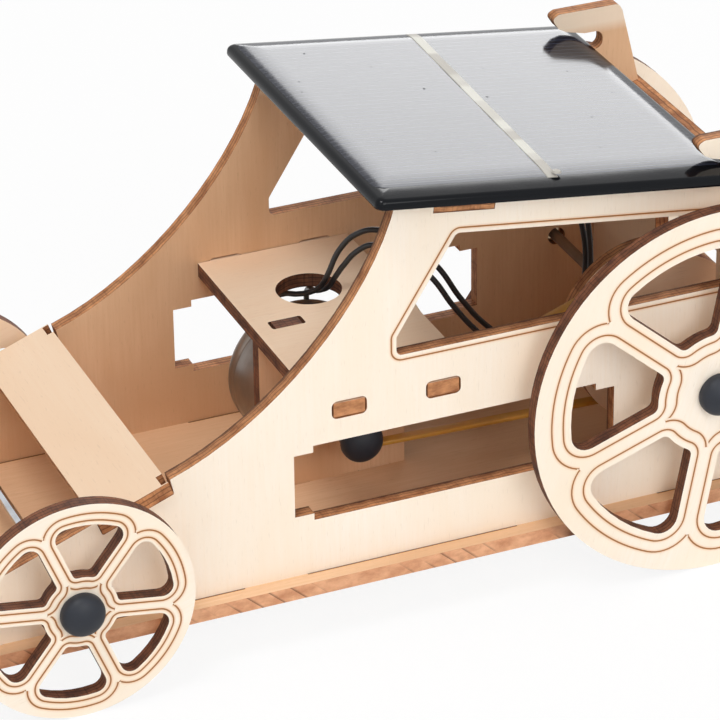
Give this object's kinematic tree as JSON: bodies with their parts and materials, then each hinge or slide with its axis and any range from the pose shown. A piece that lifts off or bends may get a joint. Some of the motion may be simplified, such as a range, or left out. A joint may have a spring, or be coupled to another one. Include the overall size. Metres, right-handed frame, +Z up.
{
  "type": "toy_car_kit",
  "caption": "Laser-cut plywood toy car kit with a solar panel on its roof, a flat motor and a rubber band that drives the rear axle",
  "frame": {"origin": "centre of the bounding box on the ground plane that the four wheels stand on", "axes": "+X to the tail with its large wheels, +Y to the far side, +Z up"},
  "size_m": [0.205, 0.0966, 0.0972],
  "materials": {
    "birch_ply": "light birch ply, burnt brown on its laser-cut edges",
    "deck_ply": "the same ply in the shade, a little browner",
    "black_rubber": "smooth, slightly shiny",
    "bright_steel": "polished axle, motor can and shaft",
    "dull_steel": "grey-brown rod and small pulley",
    "black_resin": "black board in clear glossy resin",
    "cell_grey": "blue-grey cell under clear glossy resin",
    "tin": "tinned ribbon and solder",
    "amber_band": "translucent amber rubber",
    "white_plastic": "moulded end of the motor",
    "brass": "stamped terminals",
    "black_wire": "soft black insulation"
  },
  "bodies": {
    "body": {"side_panel_near": "birch_ply", "side_panel_far": "birch_ply", "base_plate": "deck_ply", "bonnet_plate": "birch_ply", "roof_bar": "birch_ply", "rear_bar": "birch_ply", "rear_bulkhead": "birch_ply", "motor_shelf": "birch_ply", "motor_plate": "deck_ply", "solar_board": "black_resin", "solar_cell": "cell_grey", "cell_ribbon": "tin", "ribbon_solder": "tin", "panel_pad_a": "tin", "panel_pad_b": "tin", "motor_can": "bright_steel", "motor_end_cap": "white_plastic", "motor_terminal_a": "brass", "motor_terminal_b": "brass", "drive_band": "amber_band", "wire_a": "black_wire", "wire_b": "black_wire"},
    "rear_wheels": {"rear_axle": "dull_steel", "rear_wheel_near": "birch_ply", "rear_wheel_far": "birch_ply", "rear_cap_near": "black_rubber", "rear_cap_far": "black_rubber", "pulley_core": "birch_ply", "pulley_flange_near": "birch_ply", "pulley_flange_far": "birch_ply"},
    "front_wheels": {"front_axle": "bright_steel", "front_wheel_near": "birch_ply", "front_wheel_far": "birch_ply", "front_cap_near": "black_rubber", "front_cap_far": "black_rubber"},
    "motor_rotor": {"motor_shaft": "bright_steel", "motor_pulley": "dull_steel", "motor_cap": "black_rubber"}
  },
  "joints": [
    {"name": "rear_axle_spin", "type": "hinge", "parent": "body", "child": "rear_wheels", "pos_m": [0.06175, 0, 0.0408], "axis": [0, 1, 0], "continuous": true},
    {"name": "front_axle_spin", "type": "hinge", "parent": "body", "child": "front_wheels", "pos_m": [-0.0752, 0, 0.0236], "axis": [0, 1, 0], "continuous": true},
    {"name": "motor_spin", "type": "hinge", "parent": "body", "child": "motor_rotor", "pos_m": [-0.0045, 0, 0.0302], "axis": [0, 1, 0], "continuous": true}
  ],
  "couplings": [
    {"joint": "motor_spin", "follows": "rear_axle_spin", "ratio": 6.682}
  ]
}
